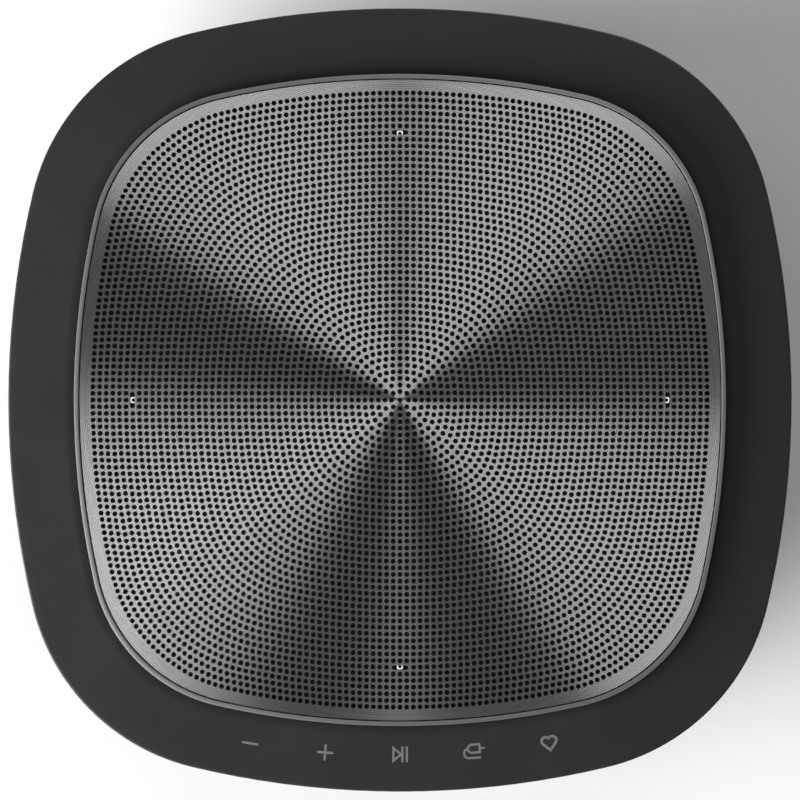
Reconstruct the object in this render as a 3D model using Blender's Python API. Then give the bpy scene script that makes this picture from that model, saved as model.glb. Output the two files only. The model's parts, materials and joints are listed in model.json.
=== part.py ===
"""A tabletop speakerphone: a squircle tub with an up-firing loudspeaker under a turned metal grille.

Metres, +Z up. The origin is the centre of the foot's contact plane, -Y is the side with the touch keys
and +Y the side with the sockets. Every separate physical piece is one object.
"""

import math

import bmesh
import bpy
from mathutils import Matrix, Vector

for old in list(bpy.data.objects):
    bpy.data.objects.remove(old, do_unlink=True)

# ---- driving dimensions -------------------------------------------------------------------------
GAP = 0.0003  # clearance between pieces that touch

# Half widths across the flats, and radii
BODY_HALF = 0.08884
GRILLE_HALF = 0.07245
GROOVE = 0.0004  # dark gap between the sheet and the trim ring
TRIM_WALL = 0.00085
RECESS_HALF = 0.07395  # the cover's opening round the trim ring
BASE_HALF = 0.0659
FOOT_HALF = 0.0595
FOOT_WIDTH = 0.0045
BOX_HALF = 0.0758  # flanges of the speaker box
BOX_R = 0.0600  # its cup
BOARD_R = 0.0570
MIC_RADIUS = 0.06045  # the microphones lie on the four axes, this far out

# Levels, from the table upwards
BASE_Z = 0.0023
LEDGE_Z = 0.0052
LEDGE_TOP_Z = 0.0092
BOARD_Z = 0.0096
BOX_FLOOR_Z = 0.0143
YOKE_Z = 0.0170
PARTING_Z = 0.0477
TRAY_Z = 0.0506
BAND_OUTER_Z = 0.0545
BAND_INNER_Z = 0.0558
ACOUSTIC_MESH_Z = 0.0566
ACOUSTIC_MESH_TOP_Z = 0.0569
SHEET_EDGE_Z = 0.0590
SHEET_CROWN = 0.0025  # rise of the grille from its edge to its centre

# Wall and sheet thicknesses
TRAY_THICK = 0.0018
BAFFLE_THICK = 0.0026
BOX_FLANGE_THICK = 0.0021
BOX_WALL = 0.0022
SHEET_THICK = 0.0010
CIRCUIT_THICK = 0.0010
MAIN_BOARD_THICK = 0.0016

# The loudspeaker
FLANGE_R = 0.0475
BAFFLE_HOLE_R = 0.0384
MAGNET_R = 0.0280
MAGNET_THICK = 0.0077
PLATE_R = 0.0260
PLATE_THICK = 0.0040
POLE_R = 0.0097
COIL_R = 0.0102  # inside of the voice coil's former
CONE_R = 0.0322
CONE_FOOT_Z = 0.0415

# Screws and the places they go, as radii on the diagonals
SHANK_R = 0.0011
CLEARANCE_R = 0.0015
HEAD_R = 0.0026
BASE_SCREW_AT = 0.0700
BOX_SCREW_AT = 0.0815
DRIVER_SCREW_AT = 0.0442
BOARD_POST_AT = 0.0500
LEAD_SPOT = (0.0460, 0.0)  # where the driver's lead leaves the box

# The socket pocket at the back
POCKET_FLOOR_Y = 0.0790
POCKET_HALF_WIDTH = 0.0240
POCKET_LOW_Z = 0.0086
POCKET_HIGH_Z = 0.0176
PAD_Y = 0.0753  # inner face of the pad behind the pocket
NOSE_Y = POCKET_FLOOR_Y - 0.0002  # the sockets' front faces
USB_X, USB_Z = 0.0, 0.0131
JACK_X, JACK_Z = -0.0140, 0.0143
POWER_X, POWER_Z = 0.0160, 0.0138
POWER_FACE_Y = 0.0798

# The touch keys lie on this arc, centred on the Y axis
KEY_ARC_RADIUS = 0.2120
KEY_ARC_CENTRE_Y = 0.1317

# Outlines are (side arc radius, corner arc radius) as shares of the half width; ROUND is a circle.
OUTER = (2.276, 0.5505)
INNER = (2.55, 0.50)
ROUND = None
SIDE_STEPS = 2  # segments on half of one side arc
CORNER_STEPS = 3  # segments on half of one corner arc
SQUIRCLE_COUNT = 8 * (SIDE_STEPS + CORNER_STEPS)
ROUND_COUNT = 24

QUARTER_TURN = math.pi / 2
SMOOTH_BELOW = math.radians(35)

# Levels that follow from the ones above
BAFFLE_TOP_Z = TRAY_Z - TRAY_THICK - GAP
BAFFLE_LOW_Z = BAFFLE_TOP_Z - BAFFLE_THICK
BOX_GASKET_THICK = 0.0009
BOX_FLANGE_Z = BAFFLE_LOW_Z - BOX_GASKET_THICK - 2 * GAP
BOARD_TOP_Z = BOARD_Z + MAIN_BOARD_THICK
MAGNET_Z = YOKE_Z + PLATE_THICK + GAP
PLATE_Z = MAGNET_Z + MAGNET_THICK + GAP
PLATE_TOP_Z = PLATE_Z + PLATE_THICK
DRIVER_GASKET_THICK = 0.0008
FLANGE_Z = BAFFLE_TOP_Z + DRIVER_GASKET_THICK + 2 * GAP
FLANGE_TOP_Z = FLANGE_Z + 0.0012


# ---- outlines and solids ------------------------------------------------------------------------
def turned_point(x, y, angle):
    return (x * math.cos(angle) - y * math.sin(angle), x * math.sin(angle) + y * math.cos(angle))


def circle_points(radius, count):
    """Points of a circle, counter-clockwise from the +X axis."""
    return [turned_point(radius, 0, 2 * math.pi * i / count) for i in range(count)]


def squircle_points(half, shape):
    """A square with bowed sides: a shallow side arc and a tighter corner arc in each octant."""
    side, corner = shape[0] * half, shape[1] * half
    # The corner arc's centre (c, c) touches the side arc: (c - half + side)^2 + c^2 = (side - corner)^2
    shift = side - half
    c = (-shift + math.sqrt(2 * (side - corner) ** 2 - shift * shift)) / 2
    meet = math.atan2(c, c + shift)
    octant = []
    for i in range(SIDE_STEPS):
        t = meet * i / SIDE_STEPS
        octant.append((side * math.cos(t) - shift, side * math.sin(t)))
    for i in range(CORNER_STEPS + 1):
        t = meet + (math.pi / 4 - meet) * i / CORNER_STEPS
        octant.append((c + corner * math.cos(t), c + corner * math.sin(t)))
    quarter = octant + [(y, x) for x, y in reversed(octant[1:-1])]
    return [turned_point(x, y, turn * QUARTER_TURN) for turn in range(4) for x, y in quarter]


def loop_at(half, z, shape, count):
    flat = squircle_points(half, shape) if shape else circle_points(half, count)
    return [Vector((x, y, z)) for x, y in flat]


def new_object(name, mesh, finish):
    """Puts a mesh or curve in the scene. A helper, with no finish, is hidden and only shapes others."""
    obj = bpy.data.objects.new(name, mesh)
    bpy.context.scene.collection.objects.link(obj)
    if finish:
        obj.data.materials.append(finish)
    else:
        obj.hide_render = True
        obj.display_type = "WIRE"
    return obj


def mesh_of(bm, name, smooth=True):
    bmesh.ops.recalc_face_normals(bm, faces=bm.faces)
    mesh = bpy.data.meshes.new(name)
    bm.to_mesh(mesh)
    bm.free()
    if smooth:
        mesh.shade_smooth()
        mesh.set_sharp_from_angle(angle=SMOOTH_BELOW)
    return mesh


def loft(name, loops, closed, finish, smooth=True):
    """Skins a list of point loops. closed joins the last to the first; otherwise both ends are capped."""
    bm = bmesh.new()
    rows = [[bm.verts.new(p) for p in loop] for loop in loops]
    pairs = list(zip(rows, rows[1:]))
    if closed:
        pairs.append((rows[-1], rows[0]))
    else:
        bm.faces.new(rows[0])
        bm.faces.new(rows[-1])
    for a, b in pairs:
        for i in range(len(a)):
            j = (i + 1) % len(a)
            bm.faces.new((a[i], a[j], b[j], b[i]))
    return new_object(name, mesh_of(bm, name, smooth), finish)


def turned(name, section, finish, closed=True, count=ROUND_COUNT, at=(0.0, 0.0)):
    """A round piece from a section of (radius, z) points, standing on a vertical axis at (x, y)."""
    obj = loft(name, [loop_at(r, z, ROUND, count) for r, z in section], closed, finish)
    obj.location = (at[0], at[1], 0)
    return obj


def washer(name, inner_r, outer_r, low_z, high_z, finish, count=ROUND_COUNT, at=(0.0, 0.0)):
    section = [(inner_r, low_z), (outer_r, low_z), (outer_r, high_z), (inner_r, high_z)]
    return turned(name, section, finish, count=count, at=at)


def outlined(name, section, finish=None, closed=True):
    """A squircle piece from a section of (half width, z, outline) points."""
    return loft(name, [loop_at(h, z, shape, SQUIRCLE_COUNT) for h, z, shape in section], closed, finish)


def block(name, low, high, finish=None, bevel=0.0):
    """A box between two corners, with its origin at its centre."""
    low, high = Vector(low), Vector(high)
    bm = bmesh.new()
    bmesh.ops.create_cube(bm, size=1, matrix=Matrix.Diagonal((*(high - low), 1)))
    if bevel:
        bmesh.ops.bevel(bm, geom=bm.edges[:], offset=bevel, segments=1, affect="EDGES")
    obj = new_object(name, mesh_of(bm, name, smooth=False), finish)
    obj.location = (low + high) / 2
    return obj


def rod(name, radius, start, end, finish=None, count=16):
    """A plain cylinder between two points that differ only in Y or only in Z."""
    start, end = Vector(start), Vector(end)
    turn = Matrix.Rotation(QUARTER_TURN, 4, "X") if start.y != end.y else Matrix.Identity(4)
    bm = bmesh.new()
    bmesh.ops.create_cone(bm, cap_ends=True, segments=count, radius1=radius, radius2=radius,
                          depth=(end - start).length, matrix=turn)
    obj = new_object(name, mesh_of(bm, name), finish)
    obj.location = (start + end) / 2
    return obj


def boolean(target, tool, operation):
    modifier = target.modifiers.new(operation.title() + "_" + tool.name, "BOOLEAN")
    modifier.operation = operation
    modifier.object = tool


def drill(target, spots, radius, low_z, high_z):
    """Round vertical holes through a piece that spans from low_z to high_z."""
    for x, y in spots:
        tool = rod(target.name + "_drill", radius, (x, y, low_z - 0.002), (x, y, high_z + 0.002), count=12)
        boolean(target, tool, "DIFFERENCE")


def on_diagonals(radius):
    """The four places on the diagonals, counter-clockwise from the back right."""
    reach = radius * math.sqrt(0.5)
    return [(reach, reach), (-reach, reach), (-reach, -reach), (reach, -reach)]


def screws(name, at, seat_z, crown_z, tip_z, head_r=HEAD_R):
    """Four pan-head screws on the diagonals. The head runs from its seat to its crown."""
    section = [(SHANK_R, tip_z), (SHANK_R, seat_z), (head_r, seat_z), (head_r * 0.8, crown_z)]
    for i, spot in enumerate(on_diagonals(at)):
        turned(f"{name}_{i + 1}", section, STEEL, closed=False, count=10, at=spot)


def arc_strip(name, margin, half_angle, low_z, high_z, finish, steps=10):
    """A flat strip that follows the arc of the touch keys, reaching margin to each side of it."""
    angles = [half_angle * (2 * i / steps - 1) for i in range(steps + 1)]
    rim = [(KEY_ARC_RADIUS + margin, t) for t in angles]
    rim += [(KEY_ARC_RADIUS - margin, t) for t in reversed(angles)]
    flat = [(r * math.sin(t), KEY_ARC_CENTRE_Y - r * math.cos(t)) for r, t in rim]
    loops = [[Vector((x, y, z)) for x, y in flat] for z in (low_z, high_z)]
    return loft(name, loops, False, finish, smooth=False)


def ribbon(name, width, thick, path, finish):
    """A flat flexible strip along a path of (y, z) points in the plane X = 0."""
    loops = []
    for i, (y, z) in enumerate(path):
        before, after = path[max(i - 1, 0)], path[min(i + 1, len(path) - 1)]
        along = Vector((0, after[0] - before[0], after[1] - before[1])).normalized()
        out = along.cross(Vector((1, 0, 0))) * thick / 2
        middle = Vector((0, y, z))
        side = Vector((width / 2, 0, 0))
        loops.append([middle - side - out, middle + side - out, middle + side + out, middle - side + out])
    return loft(name, loops, False, finish, smooth=False)


def smooth_path(controls, steps):
    """Catmull-Rom points through the control points."""
    ends = [Vector(p) for p in (controls[0], *controls, controls[-1])]
    points = []
    for a, b, c, d in zip(ends, ends[1:], ends[2:], ends[3:]):
        for i in range(steps):
            t = i / steps
            bend = (2 * a - 5 * b + 4 * c - d) * t * t + (3 * b - a - 3 * c + d) * t ** 3
            points.append(b + ((c - a) * t + bend) / 2)
    return points + [ends[-1]]


def cable(name, radius, points, finish):
    """A round lead through a list of points, with its ends closed."""
    curve = bpy.data.curves.new(name, "CURVE")
    curve.dimensions = "3D"
    curve.bevel_depth = radius
    curve.bevel_resolution = 1
    curve.use_fill_caps = True
    spline = curve.splines.new("POLY")
    spline.points.add(len(points) - 1)
    for slot, p in zip(spline.points, points):
        slot.co = (*p, 1)
    return new_object(name, curve, finish)


def new_material(name, colour, roughness, metallic=0.0):
    made = bpy.data.materials.new(name)
    made.use_nodes = True
    shader = made.node_tree.nodes["Principled BSDF"]
    shader.inputs["Base Color"].default_value = (*colour, 1)
    shader.inputs["Roughness"].default_value = roughness
    shader.inputs["Metallic"].default_value = metallic
    return made


# ---- the casing ---------------------------------------------------------------------------------
def tub_wall(inset=0.0):
    """The tub's outer wall as (half width, z, outline) points, moved inwards by inset."""
    wall = [(0.0705, BASE_Z), (0.0745, 0.0034), (0.0782, 0.0070), (0.0820, 0.0145),
            (0.0856, 0.0260), (0.0879, 0.0380), (BODY_HALF, PARTING_Z)]
    return [(half - inset, z, OUTER) for half, z in wall]


def make_lower_housing():
    """The tub, with a tongue at the parting line and an inner ledge for the base plate."""
    base_seat = BASE_HALF + 0.0004
    tongue_top = PARTING_Z + 0.0025
    tongue = [(0.0873, PARTING_Z), (0.0872, tongue_top), (0.0864, tongue_top)]
    inside = [(0.0854, 0.0380), (0.0831, 0.0260), (0.0794, 0.0148), (0.0760, LEDGE_TOP_Z)]
    ledge = [(BOX_R, LEDGE_TOP_Z), (BOX_R, LEDGE_Z), (base_seat, LEDGE_Z)]
    section = [(base_seat, BASE_Z, OUTER)] + tub_wall()
    section += [(half, z, OUTER) for half, z in tongue + inside + ledge]
    housing = outlined("lower_housing", section, SOFT_PLASTIC)
    drill(housing, on_diagonals(BASE_SCREW_AT), CLEARANCE_R, LEDGE_Z, LEDGE_TOP_Z)

    # A pad thickens the wall behind the sockets, and the pocket is cut into it from outside.
    pad = block("socket_pad", (-0.0270, PAD_Y, 0.0075), (0.0270, BODY_HALF, 0.0215))
    boolean(pad, outlined("tub_volume", tub_wall(inset=0.0010), closed=False), "INTERSECT")
    boolean(housing, pad, "UNION")
    pocket = block("socket_pocket", (-POCKET_HALF_WIDTH, POCKET_FLOOR_Y, POCKET_LOW_Z),
                   (POCKET_HALF_WIDTH, BODY_HALF, POCKET_HIGH_Z), bevel=0.0012)
    boolean(housing, pocket, "DIFFERENCE")
    near_y, far_y = PAD_Y - 0.0013, POCKET_FLOOR_Y + 0.0050
    holes = [
        usb_slab("usb_hole", 0.00475, 0.00185, near_y, far_y, bevel=0.0012),
        rod("jack_hole", 0.0029, (JACK_X, near_y, JACK_Z), (JACK_X, far_y, JACK_Z), count=20),
        rod("power_hole", 0.0034, (POWER_X, near_y, POWER_Z), (POWER_X, far_y, POWER_Z), count=20),
    ]
    for hole in holes:
        boolean(housing, hole, "DIFFERENCE")


def make_top_cover():
    """The band, its skirt down to the parting line, and the tray under the grille."""
    skirt_z = PARTING_Z + GAP
    tray_in = 0.0695
    tray_low = TRAY_Z - TRAY_THICK
    skirt_in = BODY_HALF - 0.00114
    band = [(BODY_HALF, skirt_z, OUTER), (BODY_HALF, BAND_OUTER_Z - 0.0013, OUTER),
            (BODY_HALF - 0.0004, BAND_OUTER_Z - 0.0004, OUTER), (BODY_HALF - 0.0013, BAND_OUTER_Z, OUTER),
            (RECESS_HALF, BAND_INNER_Z, INNER)]
    tray = [(RECESS_HALF, TRAY_Z, INNER), (tray_in, TRAY_Z, INNER), (tray_in, tray_low, INNER),
            (0.0762, tray_low, INNER)]
    underside = [(0.0762, BAND_INNER_Z - 0.0026, INNER), (0.0860, BAND_OUTER_Z - 0.0022, OUTER),
                 (skirt_in, BAND_OUTER_Z - 0.0031, OUTER), (skirt_in, skirt_z, OUTER)]
    cover = outlined("top_cover", band + tray + underside, SOFT_PLASTIC)
    drill(cover, on_diagonals(BOX_SCREW_AT), CLEARANCE_R, tray_low, TRAY_Z)


def make_base():
    """The plate that closes the tub, with posts for the main board, and the ring foot under it."""
    top = LEDGE_Z - GAP
    head_top = BASE_Z + 0.0014
    section = [(BASE_HALF - 0.0006, BASE_Z), (BASE_HALF, BASE_Z + 0.0006), (BASE_HALF, top)]
    plate = outlined("base_plate", [(half, z, OUTER) for half, z in section], SOFT_PLASTIC, closed=False)
    for x, y in on_diagonals(BOARD_POST_AT):
        post = rod("board_post", 0.0025, (x, y, BASE_Z + 0.001), (x, y, BOARD_Z - GAP), count=12)
        boolean(plate, post, "UNION")
    drill(plate, on_diagonals(BASE_SCREW_AT), HEAD_R + GAP, BASE_Z, head_top + GAP - 0.002)
    drill(plate, on_diagonals(BASE_SCREW_AT), CLEARANCE_R, BASE_Z, top)
    screws("base_screw", BASE_SCREW_AT, head_top, BASE_Z + 0.0001, 0.0086, head_r=HEAD_R - 0.0001)

    foot_top = BASE_Z - GAP
    inner, round_off = FOOT_HALF - FOOT_WIDTH, 0.0006
    section = [(inner + round_off, 0), (FOOT_HALF - round_off, 0), (FOOT_HALF, round_off),
               (FOOT_HALF, foot_top), (inner, foot_top), (inner, round_off)]
    outlined("foot_ring", [(half, z, OUTER) for half, z in section], RUBBER)


# ---- the grille and its microphones -------------------------------------------------------------
def sheet_top(half):
    """Height of the grille sheet's upper face at a distance from the centre."""
    return SHEET_EDGE_Z + SHEET_CROWN * (1 - (half / GRILLE_HALF) ** 2)


def make_grille():
    trim_in = GRILLE_HALF + GROOVE
    trim_out = trim_in + TRIM_WALL
    shelf_z = TRAY_Z + 0.0021
    trim = [(trim_in, shelf_z + GAP), (trim_out, shelf_z + GAP), (trim_out, SHEET_EDGE_Z - 0.0007),
            (trim_out - 0.00025, SHEET_EDGE_Z - 0.0001), (trim_out - 0.0006, SHEET_EDGE_Z + 0.00015),
            (trim_in, SHEET_EDGE_Z + 0.0001)]
    outlined("trim_ring", [(half, z, INNER) for half, z in trim], ALUMINIUM)

    halves = [GRILLE_HALF * share for share in (1.0, 0.7, 0.35, 0.02)]
    under = [(half, sheet_top(half) - SHEET_THICK, INNER) for half in reversed(halves)]
    over = [(half, sheet_top(half), INNER) for half in halves]
    sheet = outlined("grille_sheet", under + over, BRUSHED_METAL, closed=False)

    frame_low, frame_top = TRAY_Z + GAP, SHEET_EDGE_Z - SHEET_THICK - 0.0004
    frame_in, frame_out = 0.0665, RECESS_HALF - 0.00035
    rib_in, rib_out = 0.0704, 0.0722
    frame = [(frame_in, frame_low), (frame_out, frame_low), (frame_out, shelf_z), (rib_out, shelf_z),
             (rib_out, frame_top), (rib_in, frame_top), (rib_in, shelf_z), (frame_in, shelf_z)]
    outlined("grille_frame", [(half, z, INNER) for half, z in frame], BLACK_PLASTIC)
    levels = (ACOUSTIC_MESH_Z, ACOUSTIC_MESH_TOP_Z)
    outlined("acoustic_mesh", [(rib_in - GAP, z, INNER) for z in levels], BLACK_CLOTH, closed=False)
    make_microphones(sheet, shelf_z + GAP)


def make_microphones(sheet, board_z):
    """The ring board under the mesh, and on each axis a capsule, its boot and a ferrule in the sheet."""
    board_in, board_out = 0.0560, 0.0698
    board_top = board_z + CIRCUIT_THICK
    section = [(board_in, board_z), (board_out, board_z), (board_out, board_top), (board_in, board_top)]
    outlined("mic_board", [(half, z, INNER) for half, z in section], CIRCUIT_BOARD)

    capsule_top = board_top + 0.0012
    boot_z = capsule_top + GAP
    sleeve_z = ACOUSTIC_MESH_TOP_Z + 0.0002
    sleeve_top = sheet_top(MIC_RADIUS) + 0.0001
    for i, side in enumerate(("right", "back", "left", "front")):
        x, y = turned_point(MIC_RADIUS, 0, i * QUARTER_TURN)
        drill(sheet, [(x, y)], 0.00102, sleeve_top - 0.002, sleeve_top)
        washer("mic_sleeve_" + side, 0.0005, 0.0007, sleeve_z, sleeve_top, NICKEL, 12, (x, y))
        washer("mic_boot_" + side, 0.0006, 0.0022, boot_z, boot_z + 0.0008, RUBBER, 12, (x, y))
        block("mic_capsule_" + side, (x - 0.0017, y - 0.0014, board_top + GAP),
              (x + 0.0017, y + 0.0014, capsule_top), NICKEL)


# ---- the loudspeaker ----------------------------------------------------------------------------
def make_speaker_box():
    """The baffle and the cup behind it, sealed by a gasket and screwed up into the cover's tray."""
    baffle = [(BOX_HALF, BAFFLE_LOW_Z, INNER), (BOX_HALF, BAFFLE_TOP_Z, INNER),
              (BAFFLE_HOLE_R, BAFFLE_TOP_Z, ROUND), (BAFFLE_HOLE_R, BAFFLE_LOW_Z, ROUND)]
    front = outlined("speaker_box_front", baffle, BLACK_PLASTIC)
    flange_low = BOX_FLANGE_Z - BOX_FLANGE_THICK
    floor_top = BOX_FLOOR_Z + 0.0020
    cup_in = BOX_R - BOX_WALL
    corner = 0.0022
    cup = [(BOX_R - corner, BOX_FLOOR_Z, ROUND), (BOX_R, BOX_FLOOR_Z + corner, ROUND),
           (BOX_R, flange_low, ROUND), (BOX_HALF, flange_low, INNER), (BOX_HALF, BOX_FLANGE_Z, INNER),
           (cup_in, BOX_FLANGE_Z, ROUND), (cup_in, floor_top + 0.0012, ROUND),
           (cup_in - 0.0018, floor_top, ROUND)]
    rear = outlined("speaker_box_rear", cup, BLACK_PLASTIC, closed=False)
    washer("box_gasket", cup_in + 0.0004, BOX_R + 0.0036, BOX_FLANGE_Z + GAP, BAFFLE_LOW_Z - GAP, RUBBER)
    drill(front, on_diagonals(BOX_SCREW_AT), CLEARANCE_R, BAFFLE_LOW_Z, BAFFLE_TOP_Z)
    drill(front, on_diagonals(DRIVER_SCREW_AT), CLEARANCE_R, BAFFLE_LOW_Z, BAFFLE_TOP_Z)
    drill(rear, on_diagonals(BOX_SCREW_AT), CLEARANCE_R, flange_low, BOX_FLANGE_Z)
    drill(rear, [LEAD_SPOT], 0.0017, BOX_FLOOR_Z, floor_top)
    screws("box_screw", BOX_SCREW_AT, flange_low - GAP, flange_low - 0.0021, TRAY_Z - 0.0003)


def make_driver_frame():
    """The basket with its magnet system: yoke, ring magnet and top plate, stacked from below."""
    seat_z = PLATE_TOP_Z + GAP
    shelf_z = 0.0383
    skin = 0.0011
    inside = [(0.0372, FLANGE_TOP_Z), (0.0296, shelf_z + skin), (0.0246, shelf_z + skin),
              (0.0220, seat_z + skin), (0.0125, seat_z + skin)]
    outside = [(0.0125, seat_z), (0.0227, seat_z), (0.0253, shelf_z), (0.0303, shelf_z), (0.0377, FLANGE_Z)]
    rim = [(FLANGE_R, FLANGE_Z), (FLANGE_R, FLANGE_TOP_Z)]
    basket = turned("driver_basket", rim + inside + outside, STEEL)
    for i in range(4):
        window = block("basket_window", (-0.0065, -0.0110, 0.0408), (0.0065, 0.0110, 0.0478))
        window.rotation_euler.z = i * QUARTER_TURN
        window.location.xy = turned_point(0.0355, 0, i * QUARTER_TURN)
        boolean(basket, window, "DIFFERENCE")
    gasket = washer("driver_gasket", 0.0390, FLANGE_R - 0.0005, BAFFLE_TOP_Z + GAP, FLANGE_Z - GAP, RUBBER)
    drill(basket, on_diagonals(DRIVER_SCREW_AT), CLEARANCE_R, FLANGE_Z, FLANGE_TOP_Z)
    drill(gasket, on_diagonals(DRIVER_SCREW_AT), CLEARANCE_R, BAFFLE_TOP_Z, FLANGE_Z)
    screws("driver_screw", DRIVER_SCREW_AT, FLANGE_TOP_Z + GAP, FLANGE_TOP_Z + 0.0019, BAFFLE_LOW_Z + GAP)
    washer("driver_top_plate", 0.0115, PLATE_R, PLATE_Z, PLATE_TOP_Z, STEEL)
    washer("driver_magnet", 0.0150, MAGNET_R, MAGNET_Z, MAGNET_Z + MAGNET_THICK, FERRITE)
    yoke_top = YOKE_Z + PLATE_THICK
    turned("driver_yoke", [(PLATE_R + 0.0005, YOKE_Z), (PLATE_R + 0.0005, yoke_top), (POLE_R, yoke_top),
                           (POLE_R, PLATE_TOP_Z)], STEEL, closed=False)


def make_suspension():
    """The two soft rings that let the cone move: the half-roll surround and the pleated spider."""
    rim_z = FLANGE_TOP_Z + GAP  # glued to the cone's edge and to the basket's flange
    lip_z = rim_z + 0.0005
    steps = 5

    def roll(radius, start_z):
        first = math.asin((start_z - rim_z) / radius)
        turns = [first + (math.pi - 2 * first) * i / steps for i in range(steps + 1)]
        return [(0.0350 - radius * math.cos(t), rim_z + radius * math.sin(t)) for t in turns]

    under = [(0.0306, rim_z)] + roll(0.0022, rim_z) + [(0.0412, rim_z)]
    over = [(0.0412, lip_z)] + roll(0.0027, lip_z)[::-1] + [(0.0306, lip_z)]
    turned("driver_surround", under + over, RUBBER)

    pleats = 5
    hub_r, pleated_r, rim_r = 0.0110, 0.0240, 0.0290
    low_z, high_z = 0.0397, 0.0405
    radii = [hub_r + (pleated_r - hub_r) * i / pleats for i in range(pleats + 1)]
    under = [(r, high_z if i % 2 else low_z) for i, r in enumerate(radii)] + [(rim_r, low_z)]
    over = [(r, z + 0.0004) for r, z in reversed(under)]
    turned("driver_spider", under + over, BLACK_CLOTH)


def make_diaphragm():
    """The moving group: cone, dust cap and voice coil, hung from an empty on the driver's axis."""
    axis = bpy.data.objects.new("cone_travel", None)
    axis.location = (0, 0, CONE_FOOT_Z)
    bpy.context.scene.collection.objects.link(axis)
    neck_r = COIL_R + 0.0010
    skin = 0.0007
    cone = [(neck_r, CONE_FOOT_Z), (CONE_R, FLANGE_TOP_Z - skin), (CONE_R, FLANGE_TOP_Z),
            (neck_r + 0.0004, CONE_FOOT_Z + skin)]
    cap_under = [(0.0020, 0.0463), (0.0063, 0.0458), (0.0101, 0.0445), (0.0117, 0.0431)]
    cap_over = [(0.0124, 0.0429), (0.0106, 0.0449), (0.0066, 0.0463), (0.0020, 0.0468)]
    former_low, former_top = 0.0270, CONE_FOOT_Z + 0.0005
    former_r, winding_r = COIL_R + 0.0004, COIL_R + 0.0008
    winding_low, winding_top = 0.0285, 0.0345
    former = [(former_r, former_low), (COIL_R, former_low), (COIL_R, former_top), (former_r, former_top)]
    winding = [(former_r, winding_top), (winding_r, winding_top), (winding_r, winding_low),
               (former_r, winding_low)]
    moving = [
        turned("driver_cone", cone, PAPER),
        turned("driver_dust_cap", cap_under + cap_over, PAPER, closed=False),
        turned("voice_coil", former + winding, COPPER),
    ]
    for piece in moving:
        piece.parent = axis
        piece.matrix_parent_inverse = Matrix.Translation(axis.location).inverted()


# ---- electronics --------------------------------------------------------------------------------
def make_boards():
    board = turned("main_board", [(BOARD_R, BOARD_Z), (BOARD_R, BOARD_TOP_Z)], CIRCUIT_BOARD, closed=False)
    tab = block("board_tab", (-POCKET_HALF_WIDTH, 0.0450, BOARD_Z), (POCKET_HALF_WIDTH, 0.0735, BOARD_TOP_Z))
    boolean(board, tab, "UNION")
    seat = BOARD_TOP_Z + GAP
    edge = 0.0004
    block("processor_shield", (-0.0310, -0.0210, seat), (-0.0050, 0.0050, seat + 0.0022), NICKEL, edge)
    block("wireless_module", (0.0100, 0.0150, seat), (0.0240, 0.0330, seat + 0.0020), NICKEL, edge)
    block("amplifier_heatsink", (0.0100, -0.0280, seat), (0.0260, -0.0120, seat + 0.0024), ALUMINIUM, edge)

    touch_z = 0.0499
    guide_z = touch_z + CIRCUIT_THICK + GAP
    arc_strip("touch_board", 0.0037, math.radians(11.5), touch_z, touch_z + CIRCUIT_THICK, CIRCUIT_BOARD)
    arc_strip("key_light_guide", 0.0032, math.radians(11), guide_z, guide_z + 0.0008, CLEAR_PLASTIC)
    ribbon("touch_flex", 0.0080, 0.0003,
           [(-0.0795, 0.0495), (-0.0788, 0.0480), (-0.0785, 0.0400), (-0.0780, 0.0220), (-0.0765, 0.0160),
            (-0.0725, 0.0132), (-0.0660, 0.0125), (-0.0540, 0.0118)], AMBER_FILM)
    lead = [(0.0264, 0.0108, 0.0366), (0.0350, 0.0130, 0.0340), (0.0440, 0.0060, 0.0290),
            (*LEAD_SPOT, 0.0225), (*LEAD_SPOT, 0.0175), (*LEAD_SPOT, 0.0118)]
    cable("driver_lead", 0.0012, smooth_path(lead, 4), BLACK_PLASTIC)


def usb_slab(name, half_width, half_height, near_y, far_y, finish=None, bevel=0.0):
    """A block round the USB socket's axis."""
    return block(name, (USB_X - half_width, near_y, USB_Z - half_height),
                 (USB_X + half_width, far_y, USB_Z + half_height), finish, bevel)


def make_sockets():
    seat = BOARD_TOP_Z + GAP
    usb = usb_slab("usb_c_socket", 0.0045, 0.0016, 0.0705, NOSE_Y, NICKEL, bevel=0.0012)
    boolean(usb, usb_slab("usb_mouth", 0.0042, 0.0013, 0.0725, BODY_HALF, bevel=0.0010), "DIFFERENCE")
    boolean(usb, usb_slab("usb_tongue", 0.0033, 0.00035, 0.0720, NOSE_Y - 0.0015), "UNION")

    jack = block("audio_jack", (JACK_X - 0.0031, 0.0630, seat), (JACK_X + 0.0031, PAD_Y - 0.0005, 0.0170),
                 BLACK_PLASTIC)
    barrel = rod("jack_barrel", 0.0026, (JACK_X, 0.0700, JACK_Z), (JACK_X, NOSE_Y, JACK_Z))
    opening = rod("jack_opening", 0.00178, (JACK_X, 0.0650, JACK_Z), (JACK_X, BODY_HALF, JACK_Z))
    boolean(jack, barrel, "UNION")
    boolean(jack, opening, "DIFFERENCE")


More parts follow.
